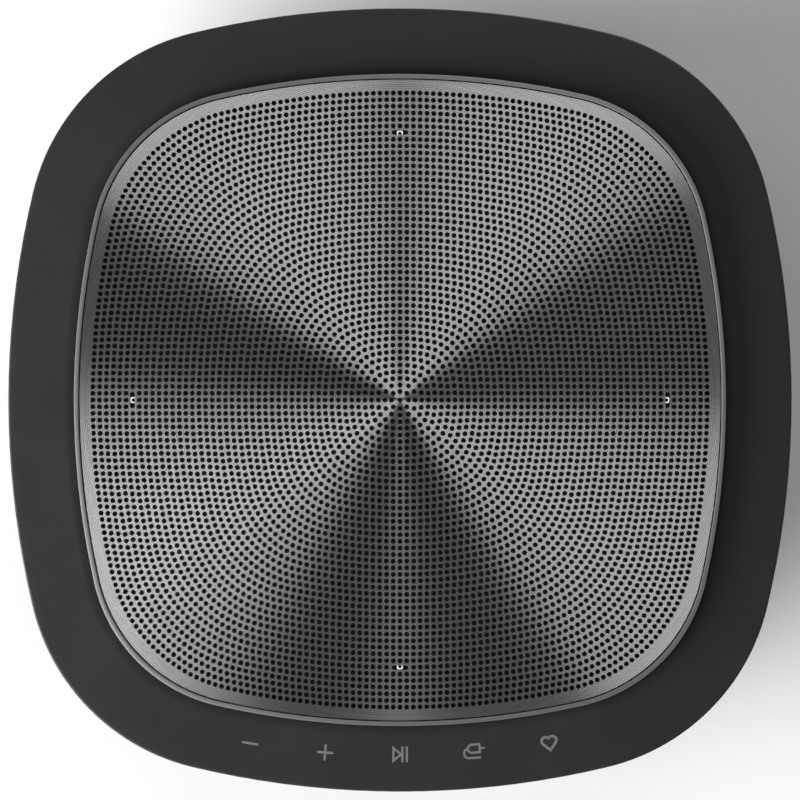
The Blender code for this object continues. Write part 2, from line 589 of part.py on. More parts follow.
def make_power_button():
    """A round push-button with a collar behind the wall, and the switch it presses."""
    collar_y = PAD_Y - GAP
    button = rod("power_button", 0.0040, (POWER_X, collar_y - 0.0008, POWER_Z), (POWER_X, collar_y, POWER_Z),
                 BLACK_PLASTIC, count=20)
    stem = rod("power_stem", 0.0030, (POWER_X, collar_y - 0.0004, POWER_Z), (POWER_X, POWER_FACE_Y, POWER_Z),
               count=20)
    boolean(button, stem, "UNION")
    switch = block("power_switch", (POWER_X - 0.0030, 0.0690, BOARD_TOP_Z + GAP),
                   (POWER_X + 0.0030, 0.0726, 0.0165), BLACK_PLASTIC)
    plunger = rod("switch_plunger", 0.0015, (POWER_X, 0.0710, POWER_Z), (POWER_X, 0.0736, POWER_Z), count=12)
    boolean(switch, plunger, "UNION")


SOFT_PLASTIC = new_material("soft_plastic", (0.035, 0.036, 0.039), 0.55)
BLACK_PLASTIC = new_material("black_plastic", (0.012, 0.012, 0.013), 0.5)
CLEAR_PLASTIC = new_material("clear_plastic", (0.75, 0.76, 0.78), 0.25)
RUBBER = new_material("rubber", (0.015, 0.015, 0.016), 0.8)
BRUSHED_METAL = new_material("brushed_metal", (0.36, 0.36, 0.37), 0.3, metallic=1)
ALUMINIUM = new_material("aluminium", (0.5, 0.5, 0.51), 0.3, metallic=1)
NICKEL = new_material("nickel", (0.75, 0.74, 0.72), 0.2, metallic=1)
STEEL = new_material("steel", (0.4, 0.4, 0.41), 0.4, metallic=1)
COPPER = new_material("copper", (0.7, 0.32, 0.15), 0.35, metallic=1)
FERRITE = new_material("ferrite", (0.06, 0.06, 0.065), 0.6)
PAPER = new_material("paper_cone", (0.02, 0.02, 0.021), 0.8)
BLACK_CLOTH = new_material("black_cloth", (0.01, 0.01, 0.01), 0.9)
CIRCUIT_BOARD = new_material("circuit_board", (0.01, 0.06, 0.03), 0.5)
AMBER_FILM = new_material("amber_film", (0.45, 0.2, 0.03), 0.35)

make_lower_housing()
make_top_cover()
make_base()
make_grille()
make_speaker_box()
make_driver_frame()
make_suspension()
make_diaphragm()
make_boards()
make_sockets()
make_power_button()
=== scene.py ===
"""Looks for the tabletop speakerphone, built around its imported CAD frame. Metres, +Z up, touch keys at -Y."""
import json
import math

import bmesh
import bpy
import numpy as np
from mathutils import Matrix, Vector
from mathutils.bvhtree import BVHTree


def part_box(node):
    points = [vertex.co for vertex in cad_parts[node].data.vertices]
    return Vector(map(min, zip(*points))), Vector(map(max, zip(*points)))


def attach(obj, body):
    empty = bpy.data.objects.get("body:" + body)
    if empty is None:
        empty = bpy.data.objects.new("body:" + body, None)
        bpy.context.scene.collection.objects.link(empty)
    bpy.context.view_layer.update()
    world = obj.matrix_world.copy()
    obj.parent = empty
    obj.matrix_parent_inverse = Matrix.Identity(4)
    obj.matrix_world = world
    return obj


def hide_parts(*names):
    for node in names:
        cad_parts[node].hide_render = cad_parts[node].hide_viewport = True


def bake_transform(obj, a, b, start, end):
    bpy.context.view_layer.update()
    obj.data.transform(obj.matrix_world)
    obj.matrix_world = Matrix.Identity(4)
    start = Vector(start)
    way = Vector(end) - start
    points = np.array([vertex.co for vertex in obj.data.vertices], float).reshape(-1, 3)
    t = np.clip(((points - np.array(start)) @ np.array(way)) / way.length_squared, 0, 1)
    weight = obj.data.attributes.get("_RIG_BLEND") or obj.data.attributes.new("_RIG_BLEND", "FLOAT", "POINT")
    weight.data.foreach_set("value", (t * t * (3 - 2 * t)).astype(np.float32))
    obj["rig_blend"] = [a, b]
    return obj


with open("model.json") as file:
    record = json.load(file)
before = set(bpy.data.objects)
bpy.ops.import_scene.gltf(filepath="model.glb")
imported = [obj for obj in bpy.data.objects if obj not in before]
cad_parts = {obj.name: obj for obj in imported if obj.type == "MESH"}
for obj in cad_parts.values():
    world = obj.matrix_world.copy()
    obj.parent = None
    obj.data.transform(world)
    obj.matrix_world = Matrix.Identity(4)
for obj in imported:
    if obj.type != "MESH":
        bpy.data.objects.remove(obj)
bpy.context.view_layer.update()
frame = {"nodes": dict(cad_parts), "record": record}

# ---- dimensions, from the frame where a CAD node's box gives them ---------------------------------
MM = 0.001
BODY_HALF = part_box("top_cover")[1].x
GRILLE_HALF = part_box("grille_sheet")[1].x
TRIM_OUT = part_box("trim_ring")[1].x
BASE_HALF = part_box("base_plate")[1].x
FOOT_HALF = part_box("foot_ring")[1].x
CLOTH_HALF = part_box("acoustic_mesh")[1].x
MIC_RADIUS = (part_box("mic_sleeve_right")[0].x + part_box("mic_sleeve_right")[1].x) / 2

BASE_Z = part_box("lower_housing")[0].z
BASE_TOP_Z = 0.0049
LEDGE_Z = 0.0052
LEDGE_TOP_Z = 0.0092
PARTING_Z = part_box("top_cover")[0].z - 0.3 * MM
TRAY_Z = 0.0506
BAND_INNER_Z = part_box("top_cover")[1].z
BAND_OUTER_Z = BAND_INNER_Z - 1.3 * MM
CLOTH_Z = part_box("acoustic_mesh")[1].z
SHEET_THICK = 1.0 * MM
SHEET_EDGE_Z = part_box("grille_sheet")[0].z + SHEET_THICK
SHEET_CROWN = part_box("grille_sheet")[1].z - SHEET_EDGE_Z
TRIM_TOP_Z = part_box("trim_ring")[1].z

TRIM_IN = GRILLE_HALF + 0.25 * MM
RECESS_HALF = TRIM_OUT + 0.25 * MM

# The perforation: rings of equally spaced holes, each ring a copy of the sheet's outline
HOLE_R = 0.575 * MM
HOLE_SIDES = 12
RING_FIRST = 1.9 * MM
RING_STEP = 1.5 * MM
RING_COUNT = 46
MIC_RING = 40
MIC_SLOT_R = 0.53 * MM
QUADRANT_SHARE = 1.6865  # a quarter of the outline's length as a share of its half width

# Outlines are (side arc radius, corner arc radius) as shares of the half width
OUTER = (2.276, 0.5505)
INNER = (2.55, 0.50)
SIDE_STEPS = 9
CORNER_STEPS = 13
BAND_ROWS = 8

TOOL_FEED = 0.42 * MM
KEY_ARC_CENTRE_Y = 0.1317  # the key marks stand on an arc round this point
USB_Z = 0.0131
JACK_X, JACK_Z = -0.0140, 0.0143
POWER_X, POWER_Z = 0.0160, 0.0138


# ---- outlines -------------------------------------------------------------------------------------
def arcs_of(half, shape):
    """The side arc's radius and shift, and the corner arc's radius, centre and first angle."""
    side, corner = shape[0] * half, shape[1] * half
    shift = side - half
    c = (-shift + math.sqrt(2 * (side - corner) ** 2 - shift * shift)) / 2
    return side, shift, corner, c, math.atan2(c, c + shift)


def squircle(half, shape):
    """Points of a square with bowed sides, counter-clockwise from the +X axis."""
    side, shift, corner, c, meet = arcs_of(half, shape)
    octant = []
    for i in range(SIDE_STEPS):
        t = meet * i / SIDE_STEPS
        octant.append((side * math.cos(t) - shift, side * math.sin(t)))
    for i in range(CORNER_STEPS + 1):
        t = meet + (math.pi / 4 - meet) * i / CORNER_STEPS
        octant.append((c + corner * math.cos(t), c + corner * math.sin(t)))
    quarter = np.array(octant + [(y, x) for x, y in reversed(octant[1:-1])])
    turns = [quarter]
    for _ in range(3):
        turns.append(np.stack([-turns[-1][:, 1], turns[-1][:, 0]], axis=1))
    return np.concatenate(turns)


def reach(angle, shape):
    """Distance from the centre to the outline of half width 1, at polar angles."""
    side, shift, corner, c, meet = arcs_of(1.0, shape)
    t = np.abs((np.asarray(angle) + math.pi / 4) % (math.pi / 2) - math.pi / 4)
    on_side = -shift * np.cos(t) + np.sqrt(side**2 - (shift * np.sin(t)) ** 2)
    along = c * (np.cos(t) + np.sin(t))
    on_corner = along + np.sqrt(np.maximum(along**2 - 2 * c * c + corner**2, 0))
    switch = math.atan2(side * math.sin(meet), side * math.cos(meet) - shift)
    return np.where(t <= switch, on_side, on_corner)


def sheet_z(x, y):
    """Height of the grille's crowned upper face."""
    half = np.hypot(x, y) / reach(np.arctan2(y, x), INNER)
    return SHEET_EDGE_Z + SHEET_CROWN * (1 - (half / GRILLE_HALF) ** 2)


def smooth_path(controls, steps):
    """Catmull-Rom points through control points of any dimension."""
    ends = np.array([controls[0], *controls, controls[-1]], float)
    points = []
    for a, b, c, d in zip(ends, ends[1:], ends[2:], ends[3:]):
        for i in range(steps):
            t = i / steps
            bend = (2 * a - 5 * b + 4 * c - d) * t * t + (3 * b - a - 3 * c + d) * t**3
            points.append(b + ((c - a) * t + bend) / 2)
    return [tuple(p) for p in points] + [tuple(ends[-1])]


def arc_points(centre, radius, start, end, steps):
    """Points of an arc in a plane, angles in degrees."""
    angles = [math.radians(start + (end - start) * i / steps) for i in range(steps + 1)]
    return [(centre[0] + radius * math.cos(t), centre[1] + radius * math.sin(t)) for t in angles]


# ---- meshes ---------------------------------------------------------------------------------------
def link(name, mesh, look, sharp=32):
    mesh.shade_smooth()
    mesh.set_sharp_from_angle(angle=math.radians(sharp))
    obj = bpy.data.objects.new(name, mesh)
    bpy.context.scene.collection.objects.link(obj)
    if look:
        obj.data.materials.append(look)
    return obj


def mesh_piece(name, points, faces, look, sharp=32):
    mesh = bpy.data.meshes.new(name)
    mesh.from_pydata([tuple(p) for p in points], [], faces)
    return link(name, mesh, look, sharp)


def from_bmesh(name, bm, look, sharp=32):
    bmesh.ops.recalc_face_normals(bm, faces=bm.faces)
    mesh = bpy.data.meshes.new(name)
    bm.to_mesh(mesh)
    bm.free()
    return link(name, mesh, look, sharp)


def loft(name, loops, look, closed=True, sharp=32):
    """Skins a list of equal point loops. closed joins the last to the first, or else both ends are capped."""
    bm = bmesh.new()
    rows = [[bm.verts.new(p) for p in loop] for loop in loops]
    pairs = list(zip(rows, rows[1:]))
    if closed:
        pairs.append((rows[-1], rows[0]))
    else:
        bm.faces.new(rows[0])
        bm.faces.new(rows[-1])
    for a, b in pairs:
        for i in range(len(a)):
            j = (i + 1) % len(a)
            bm.faces.new((a[i], a[j], b[j], b[i]))
    return from_bmesh(name, bm, look, sharp)


def outlined(name, section, look, closed=True, sharp=32):
    """A squircle piece from a section of (half width, z, outline) points."""
    loops = [[(x, y, z) for x, y in squircle(half, shape)] for half, z, shape in section]
    return loft(name, loops, look, closed, sharp=sharp)


def lathe(name, section, look, at=(0, 0, 0), axis="Z", closed=False, count=48):
    """A turned piece from (radius, height) points, on a vertical axis or one along +Y."""
    loops = []
    for radius, height in section:
        loop = []
        for i in range(count):
            t = 2 * math.pi * i / count
            x, y, z = radius * math.cos(t), radius * math.sin(t), height
            if axis == "Y":
                x, y, z = x, height, -y
            loop.append((at[0] + x, at[1] + y, at[2] + z))
        loops.append(loop)
    return loft(name, loops, look, closed)


def carve(obj, tool, operation="DIFFERENCE"):
    """Cuts or joins one mesh with another for good, and removes the tool."""
    modifier = obj.modifiers.new("carve", "BOOLEAN")
    modifier.operation = operation
    modifier.object = tool
    modifier.solver = "EXACT"
    graph = bpy.context.evaluated_depsgraph_get()
    shaped = bpy.data.meshes.new_from_object(obj.evaluated_get(graph))
    obj.modifiers.clear()
    before = obj.data
    obj.data = shaped
    bpy.data.meshes.remove(before)
    bpy.data.objects.remove(tool, do_unlink=True)
    shaped.shade_smooth()
    shaped.set_sharp_from_angle(angle=math.radians(32))
    return obj


def rounded_rectangle(half_w, half_h, radius, steps):
    """(x, z) points of a rounded rectangle, counter-clockwise."""
    points = []
    for cx, cz, start in ((1, 1, 0), (-1, 1, 90), (-1, -1, 180), (1, -1, 270)):
        for i in range(steps + 1):
            t = math.radians(start + 90 * i / steps)
            x = cx * (half_w - radius) + radius * math.cos(t)
            points.append((x, cz * (half_h - radius) + radius * math.sin(t)))
    return points


def slab(name, x, z, sections, look, steps=6):
    """A piece along Y with a rounded rectangle at each (y, half width, half height, radius)."""
    loops = []
    for y, half_w, half_h, radius in sections:
        loops.append([(x + dx, y, z + dz) for dx, dz in rounded_rectangle(half_w, half_h, radius, steps)])
    return loft(name, loops, look, closed=False)


# ---- procedural looks -----------------------------------------------------------------------------
class Look:
    """A material with short ways to add and join nodes."""

    def __init__(self, name):
        self.material = bpy.data.materials.new(name)
        self.material.use_nodes = True
        self.tree = self.material.node_tree
        self.shader = self.tree.nodes["Principled BSDF"]
        self.coordinates = self.tree.nodes.new("ShaderNodeTexCoord").outputs["Object"]

    def node(self, kind, inputs=None, **settings):
        made = self.tree.nodes.new("ShaderNode" + kind)
        for key, value in settings.items():
            setattr(made, key, value)
        for key, value in (inputs or {}).items():
            self.join(value, made.inputs[key])
        return made

    def join(self, value, socket):
        if isinstance(value, bpy.types.NodeSocket):
            self.tree.links.new(value, socket)
        else:
            socket.default_value = value

    def set(self, **values):
        for key, value in values.items():
            self.join(value, self.shader.inputs[key.replace("_", " ")])

    def noise(self, scale, detail=3.0, rough=0.5, vector=None):
        inputs = {"Vector": vector or self.coordinates, "Scale": scale, "Detail": detail, "Roughness": rough}
        return self.node("TexNoise", inputs).outputs["Fac"]

    def spread(self, value, low, high, start=0.3, end=0.7):
        inputs = {"Value": value, "From Min": start, "From Max": end, "To Min": low, "To Max": high}
        return self.node("MapRange", inputs).outputs["Result"]

    def mix(self, factor, a, b):
        made = self.node("Mix", data_type="RGBA")
        self.join(factor, made.inputs[0])
        self.join((*a, 1) if isinstance(a, tuple) else a, made.inputs[6])
        self.join((*b, 1) if isinstance(b, tuple) else b, made.inputs[7])
        return made.outputs[2]

    def maths(self, operation, a, b=0.0):
        return self.node("Math", {0: a, 1: b}, operation=operation).outputs[0]

    def vector(self, operation, a, b=None):
        made = self.node("VectorMath", operation=operation)
        self.join(a, made.inputs[0])
        if b is not None:
            self.join(b, made.inputs["Scale"] if operation == "SCALE" else made.inputs[1])
        return made.outputs["Value"] if operation == "LENGTH" else made.outputs[0]

    def bump(self, height, distance, strength=1.0, normal=None):
        made = self.node("Bump", {"Height": height, "Distance": distance, "Strength": strength})
        if normal:
            self.join(normal, made.inputs["Normal"])
        return made.outputs["Normal"]


def grey(level, tint=0.0):
    """A linear grey, slightly blue by tint."""
    return (level * (1 - tint), level, level * (1 + 1.5 * tint))


def moulded(name, level, roughness, grain, depth, tint=0.01, specular=0.5):
    """A moulded surface: fine grain, broad faint differences in colour and gloss, and a painted highlight that
    lightens sharp convex edges.
    """
    look = Look(name)
    broad = look.noise(60, 4)
    fine = look.noise(grain, 2, 0.6)
    both = look.maths("ADD", look.maths("MULTIPLY", broad, 0.6), look.maths("MULTIPLY", fine, 0.4))
    # Painted highlight: sharp convex edges, found by pointiness, are mixed towards twice the surface's grey.
    edge = look.spread(look.node("NewGeometry").outputs["Pointiness"], 0.0, 0.35, 0.52, 0.62)
    body = look.mix(look.spread(both, 0, 1), grey(level * 0.92, tint), grey(level * 1.08, tint))
    look.set(Base_Color=look.mix(edge, body, grey(level * 2.0, tint)), Specular_IOR_Level=specular)
    look.set(Roughness=look.spread(both, roughness - 0.04, roughness + 0.05))
    look.set(Normal=look.bump(fine, depth, 0.5))
    return look.material


def turned_metal(name, low, high, roughness, anisotropy, tilt, scale, depth, flatten=0.0):
    """Metal with fine circular tool marks. One-sided grooves lean its gloss outwards by tilt degrees, less
    flatten times the distance from the middle."""
    look = Look(name)
    flat = look.vector("MULTIPLY", look.coordinates, (1, 1, 0))
    radius = look.vector("LENGTH", flat)
    outward = look.vector("NORMALIZE", flat)
    along = {"W": look.maths("MULTIPLY", radius, scale), "Scale": 1.0, "Detail": 2.0}
    rings = look.node("TexNoise", along, noise_dimensions="1D").outputs["Fac"]
    grain = look.noise(4200, 2)
    feed = look.maths("SINE", look.maths("MULTIPLY", radius, 2 * math.pi / TOOL_FEED), 0)
    turning = look.maths("ADD", look.maths("MULTIPLY", feed, 0.19), look.maths("MULTIPLY", rings, 0.4))
    turning = look.maths("ADD", turning, 0.19)
    marks = look.maths("ADD", turning, look.maths("MULTIPLY", grain, 0.22))
    broad = look.noise(35, 3)
    look.set(Base_Color=look.mix(look.spread(marks, 0, 1), low, high), Metallic=1.0)
    both = look.maths("ADD", look.maths("MULTIPLY", marks, 0.75), look.maths("MULTIPLY", broad, 0.25))
    look.set(Roughness=look.spread(both, roughness - 0.015, roughness + 0.015))
    look.set(Anisotropic=anisotropy, Anisotropic_Rotation=0.25)
    look.set(Tangent=look.node("Tangent", direction_type="RADIAL", axis="Z").outputs[0])
    normal = look.node("NewGeometry").outputs["Normal"]
    if tilt:
        world = look.node("VectorTransform", {"Vector": outward}, vector_type="VECTOR",
                          convert_from="OBJECT", convert_to="WORLD")
        amount = look.maths("SUBTRACT", math.tan(math.radians(tilt)), look.maths("MULTIPLY", radius, flatten))
        lean = look.vector("SCALE", world.outputs[0], amount)
        normal = look.vector("NORMALIZE", look.vector("ADD", normal, lean))
    look.set(Normal=look.bump(turning, depth, 0.15, normal))
    return look.material


def plain_metal(name, low, high, roughness):
    """Plated or rolled metal with faint streaks and spots of wear."""
    look = Look(name)
    stretched = look.vector("MULTIPLY", look.coordinates, (1, 1, 6))
    streaks = look.noise(900, 3, 0.6, stretched)
    broad = look.noise(150, 3)
    look.set(Base_Color=look.mix(look.spread(broad, 0, 1), low, high), Metallic=1.0)
    look.set(Roughness=look.spread(streaks, roughness - 0.05, roughness + 0.06))
    look.set(Normal=look.bump(streaks, 2e-6, 0.4))
    return look.material


def woven(name, low, high, pitch, depth):
    """Plain-weave cloth of crossed threads."""
    look = Look(name)
    parts = look.node("SeparateXYZ", {"Vector": look.coordinates})
    wave = 2 * math.pi / pitch
    along = look.maths("SINE", look.maths("MULTIPLY", parts.outputs["X"], wave))
    cross = look.maths("SINE", look.maths("MULTIPLY", parts.outputs["Y"], wave))
    weave = look.maths("MULTIPLY", along, cross)
    look.set(Base_Color=look.mix(look.spread(weave, 0, 1, -1, 1), low, high), Sheen_Weight=0.2)
    look.set(Roughness=look.spread(look.noise(2500), 0.85, 0.97))
    look.set(Normal=look.bump(weave, depth, 0.6))
    return look.material


def circuit_board(name):
    """Green solder mask over faint tracks, with tinned spots."""
    look = Look(name)
    cells = look.node("TexVoronoi", {"Vector": look.coordinates, "Scale": 260},
                      feature="DISTANCE_TO_EDGE", distance="MANHATTAN")
    tracks = look.spread(cells.outputs["Distance"], 1, 0, 0.03, 0.06)
    spots = look.node("TexVoronoi", {"Vector": look.coordinates, "Scale": 420}, feature="F1")
    pads = look.spread(spots.outputs["Distance"], 1, 0, 0.16, 0.2)
    mask = look.mix(tracks, (0.006, 0.05, 0.022), (0.012, 0.10, 0.040))
    look.set(Base_Color=look.mix(pads, mask, (0.50, 0.50, 0.47)), Metallic=look.maths("MULTIPLY", pads, 0.9))
    look.set(Roughness=look.spread(look.noise(500), 0.32, 0.5))
    look.set(Normal=look.bump(look.maths("ADD", tracks, pads), 3e-5, 0.4))
    return look.material


def fibrous(name, low, high):
    """Pressed paper pulp."""
    look = Look(name)
    fibres = look.noise(1800, 5, 0.75)
    look.set(Base_Color=look.mix(look.spread(fibres, 0, 1), low, high))
    look.set(Roughness=look.spread(fibres, 0.75, 0.92))
    look.set(Normal=look.bump(fibres, 4e-5, 0.6))
    return look.material


def clear(name):
    """Clear moulded plastic with a slight haze."""
    look = Look(name)
    haze = look.noise(300)
    look.set(Base_Color=look.mix(haze, (0.80, 0.82, 0.84), (0.92, 0.93, 0.94)), Transmission_Weight=0.9)
    look.set(Roughness=look.spread(haze, 0.15, 0.35), IOR=1.49)
    look.set(Normal=look.bump(look.noise(900), 1e-5, 0.3))
    return look.material


def wound(name):
    """Enamelled copper wire, wound in fine turns round a vertical axis."""
    look = Look(name)
    parts = look.node("SeparateXYZ", {"Vector": look.coordinates})
    turns = look.maths("SINE", look.maths("MULTIPLY", parts.outputs["Z"], 2 * math.pi / 0.00025))
    look.set(Base_Color=look.mix(look.spread(turns, 0, 1, -1, 1), (0.30, 0.10, 0.03), (0.72, 0.33, 0.14)))
    look.set(Metallic=1.0, Roughness=look.spread(look.noise(800), 0.28, 0.42))
    look.set(Normal=look.bump(turns, 6e-5, 0.7))
    return look.material


def film(name):
    """Amber flexible circuit with copper lines seen through it."""
    look = Look(name)
    parts = look.node("SeparateXYZ", {"Vector": look.coordinates})
    lines = look.maths("SINE", look.maths("MULTIPLY", parts.outputs["X"], 2 * math.pi / 0.0008))
    shade = look.spread(lines, 0, 1, -0.2, 0.2)
    look.set(Base_Color=look.mix(shade, (0.30, 0.12, 0.015), (0.55, 0.24, 0.05)))
    look.set(Roughness=look.spread(look.noise(700), 0.25, 0.42))
    look.set(Normal=look.bump(lines, 1e-5, 0.4))
    return look.material


LOOKS = {
    "soft_plastic": moulded("soft_touch_plastic", 0.0112, 0.52, 5200, 1.2e-5, tint=0.12, specular=0.42),
    "black_plastic": moulded("black_moulding", 0.010, 0.42, 4200, 1.0e-5),
    "clear_plastic": clear("clear_moulding"),
    "rubber": moulded("soft_rubber", 0.012, 0.78, 2600, 2.5e-5, tint=0.0, specular=0.3),
    "brushed_metal": turned_metal("turned_grille", (0.31, 0.31, 0.313), (0.61, 0.61, 0.613), 0.253, 0.85, 14,
                                  2600, 1.5e-6, flatten=2.0 * SHEET_CROWN / GRILLE_HALF**2),
    # Darker than the sheet's metal: painted shade on the holes' walls.
    "bore": plain_metal("punched_bore_painted_shade", (0.24, 0.24, 0.242), (0.34, 0.34, 0.342), 0.5),
    # Near white and not metallic: a painted highlight that stands in for the gloss of the nickel sleeves.
    "ferrule": moulded("ferrule_painted_highlight", 0.86, 0.30, 3000, 2e-6, tint=0.0),
    "aluminium": turned_metal("satin_aluminium", (0.23, 0.23, 0.232), (0.29, 0.29, 0.293), 0.55, 0.3, 0,
                              4200, 1.5e-6),
    "nickel": plain_metal("bright_nickel", (0.72, 0.71, 0.69), (0.86, 0.85, 0.83), 0.28),
    "steel": plain_metal("plated_steel", (0.36, 0.36, 0.37), (0.48, 0.48, 0.49), 0.36),
    "copper": wound("wound_copper"),
    "ferrite": moulded("ferrite", 0.055, 0.62, 1500, 5e-5, tint=0.0),
    "paper_cone": fibrous("pressed_paper", (0.014, 0.014, 0.015), (0.034, 0.034, 0.035)),
    "black_cloth": woven("acoustic_cloth", (0.06, 0.06, 0.06), (0.14, 0.14, 0.14), 0.30 * MM, 6e-5),
    "circuit_board": circuit_board("circuit_board"),
    "amber_film": film("amber_film"),
}


def fit(obj, slot_name, *nodes, body="chassis"):
    """Rides a piece on a body and hides the CAD nodes it stands for. slot_name is not used."""
    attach(obj, body)
    if nodes:
        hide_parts(*nodes)
    return obj


# ---- the grille -----------------------------------------------------------------------------------
def outline_by_length(shape):
    """A function from a share of the outline's length, counted from the +X axis, to unit x and y."""
    t = np.linspace(0, 2 * math.pi, 4 * 4096 + 1)
    r = reach(t, shape)
    x, y = r * np.cos(t), r * np.sin(t)
    length = np.concatenate([[0], np.cumsum(np.hypot(np.diff(x), np.diff(y)))])
    length /= length[-1]
    return lambda u: (np.interp(np.asarray(u) % 1, length, x), np.interp(np.asarray(u) % 1, length, y))


def mic_slot_points():
    """(along the ring, outwards) points of the slot over a microphone, counter-clockwise."""
    made = []
    for side in (1, -1):
        for i in range(13):
            t = -math.pi / 2 + math.pi * i / 12
            made.append((side * (1.37 * MM + MIC_SLOT_R * math.cos(t)), side * MIC_SLOT_R * math.sin(t)))
    return made


def make_perforated_sheet():
    """The crowned sheet. Each hole's cell reaches halfway to its neighbours, and the cells share edges."""
    at = outline_by_length(INNER)
    counts = [1]
    halves = [0.0]
    for k in range(1, RING_COUNT + 1):
        half = RING_FIRST + RING_STEP * (k - 1)
        halves.append(half)
        counts.append(4 * int(QUADRANT_SHARE * half / RING_STEP + 1e-6))

    points = []
    curves = []  # per curve between rings: sorted shares of its length, and its vertices
    for k in range(RING_COUNT + 1):
        half = halves[k] + RING_STEP / 2 if k else RING_FIRST / 2
        shares = set()
        for ring in (k, k + 1):
            if 0 < ring <= RING_COUNT:
                n = counts[ring]
                shares |= {round((j + 0.5) / n, 9) for j in range(n)}
        shares = sorted(shares)
        first = len(points)
        ux, uy = at(shares)
        points += [(half * x, half * y) for x, y in zip(ux, uy)]
        curves.append((shares, list(range(first, len(points)))))

    def between(curve, low, high):
        """The curve's vertices from share low to share high, both included, which may pass share 0."""
        shares, indices = curve
        found = []
        for turn in (-1, 0, 1):
            for share, index in zip(shares, indices):
                if low - 1e-7 <= share + turn <= high + 1e-7:
                    found.append((share + turn, index))
        return [index for _, index in sorted(found)]

    faces = []
    rims = []  # the vertices round each hole, counter-clockwise

    def fill(loop, rim, centre):
        """Triangles between a cell's outline and its hole, both counter-clockwise round the hole's centre."""
        def sweep(indices):
            angles = [math.atan2(points[i][1] - centre[1], points[i][0] - centre[0]) for i in indices]
            start = angles.index(min(angles))
            order = indices[start:] + indices[:start]
            turn = angles[start:] + angles[:start]
            return order + [order[0]], turn + [turn[0] + 2 * math.pi]
        outer, outer_turn = sweep(loop)
        inner, inner_turn = sweep(rim)
        i = j = 0
        while i < len(loop) or j < len(rim):
            if j >= len(rim) or (i < len(loop) and outer_turn[i + 1] <= inner_turn[j + 1]):
                faces.append((outer[i], outer[i + 1], inner[j]))
                i += 1
            else:
                faces.append((outer[i], inner[j + 1], inner[j]))
                j += 1

    def add_rim(flat):
        first = len(points)
        points.extend(flat)
        rims.append(list(range(first, len(points))))
        return rims[-1]

    slot_shape = mic_slot_points()
    for k in range(RING_COUNT + 1):
        n = counts[k]
        if k == 0:
            turns = [2 * math.pi * i / 16 for i in range(16)]
            rim = add_rim([(HOLE_R * math.cos(t), HOLE_R * math.sin(t)) for t in turns])
            fill(curves[0][1], rim, (0.0, 0.0))
            continue
        ux, uy = at([j / n for j in range(n)])
        quarter = n // 4
        for j in range(n):
            x, y = halves[k] * ux[j], halves[k] * uy[j]
            lean = math.atan2(y, x)
            off_axis = min(j % quarter, quarter - j % quarter)
            if k == MIC_RING and off_axis == 1:
                continue
            if k == MIC_RING and off_axis == 0:
                x, y = MIC_RADIUS * math.cos(lean), MIC_RADIUS * math.sin(lean)
                # Along the ring is the outward direction turned by a quarter turn
                along, out = (-math.sin(lean), math.cos(lean)), (math.cos(lean), math.sin(lean))
                flat = [(x + a * along[0] + b * out[0], y + a * along[1] + b * out[1]) for a, b in slot_shape]
                flat = flat[::-1]
                low, high = (j - 1.5) / n, (j + 1.5) / n
            else:
                turns = [lean + 2 * math.pi * (i + 0.5) / HOLE_SIDES for i in range(HOLE_SIDES)]
                flat = [(x + HOLE_R * math.cos(t), y + HOLE_R * math.sin(t)) for t in turns]
                low, high = (j - 0.5) / n, (j + 0.5) / n
            outer = between(curves[k], low, high)
            inner = between(curves[k - 1], low, high)
            fill(outer + inner[::-1], add_rim(flat), (x, y))

    # The plain border, with two rows that keep it flat, and its broken edge
    shares, last = curves[RING_COUNT]
    ux, uy = at(shares)
    border = [(71.2 * MM, 0), (71.9 * MM, 0), (GRILLE_HALF - 0.05 * MM, 0), (GRILLE_HALF, 0.05 * MM),
              (GRILLE_HALF, SHEET_THICK)]
    drops = [0.0] * len(points)
    for half, drop in border:
        first = len(points)
        points += [(half * x, half * y) for x, y in zip(ux, uy)]
        drops += [drop] * len(shares)
        row = list(range(first, len(points)))
        for i in range(len(row)):
            j = (i + 1) % len(row)
            faces.append((last[i], row[i], row[j], last[j]))
        last = row

    flat = np.array(points)
    z = sheet_z(flat[:, 0], flat[:, 1]) - np.array(drops)
    solid = np.column_stack([flat, z])
    sheet = mesh_piece("grille_sheet_face", solid, faces, LOOKS["brushed_metal"])
    fit(sheet, "brushed_metal", "grille_sheet")

    # The holes' walls, as deep as the sheet is thick, in a darker metal than the sheet's face: painted shade
    # inside the holes
    wall_points, wall_faces = [], []
    for rim in rims:
        first = len(wall_points)
        n = len(rim)
        wall_points += [tuple(solid[i]) for i in rim]
        wall_points += [(solid[i][0], solid[i][1], solid[i][2] - 0.95 * SHEET_THICK) for i in rim]
        for i in range(n):
            j = (i + 1) % n
            wall_faces.append((first + i, first + j, first + n + j, first + n + i))
    walls = mesh_piece("grille_hole_walls", wall_points, wall_faces, LOOKS["bore"], sharp=60)
    fit(walls, "brushed_metal")


def make_trim_ring():
    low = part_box("trim_ring")[0].z
    edge_r = 0.08 * MM
    section = [(TRIM_IN, low), (TRIM_OUT, low)]
    section += arc_points((TRIM_OUT - edge_r, TRIM_TOP_Z - 0.06 * MM - edge_r), edge_r, 0, 75, 5)
    section += [(TRIM_IN + 0.40 * MM, TRIM_TOP_Z), (TRIM_IN + 0.08 * MM, TRIM_TOP_Z)]
    section += [(TRIM_IN + 0.02 * MM, TRIM_TOP_Z - 0.03 * MM), (TRIM_IN, TRIM_TOP_Z - 0.08 * MM)]
    section = [(half, z, INNER) for half, z in section]
    ring = outlined("trim_ring_satin", section, LOOKS["aluminium"], sharp=40)
    fit(ring, "aluminium", "trim_ring")


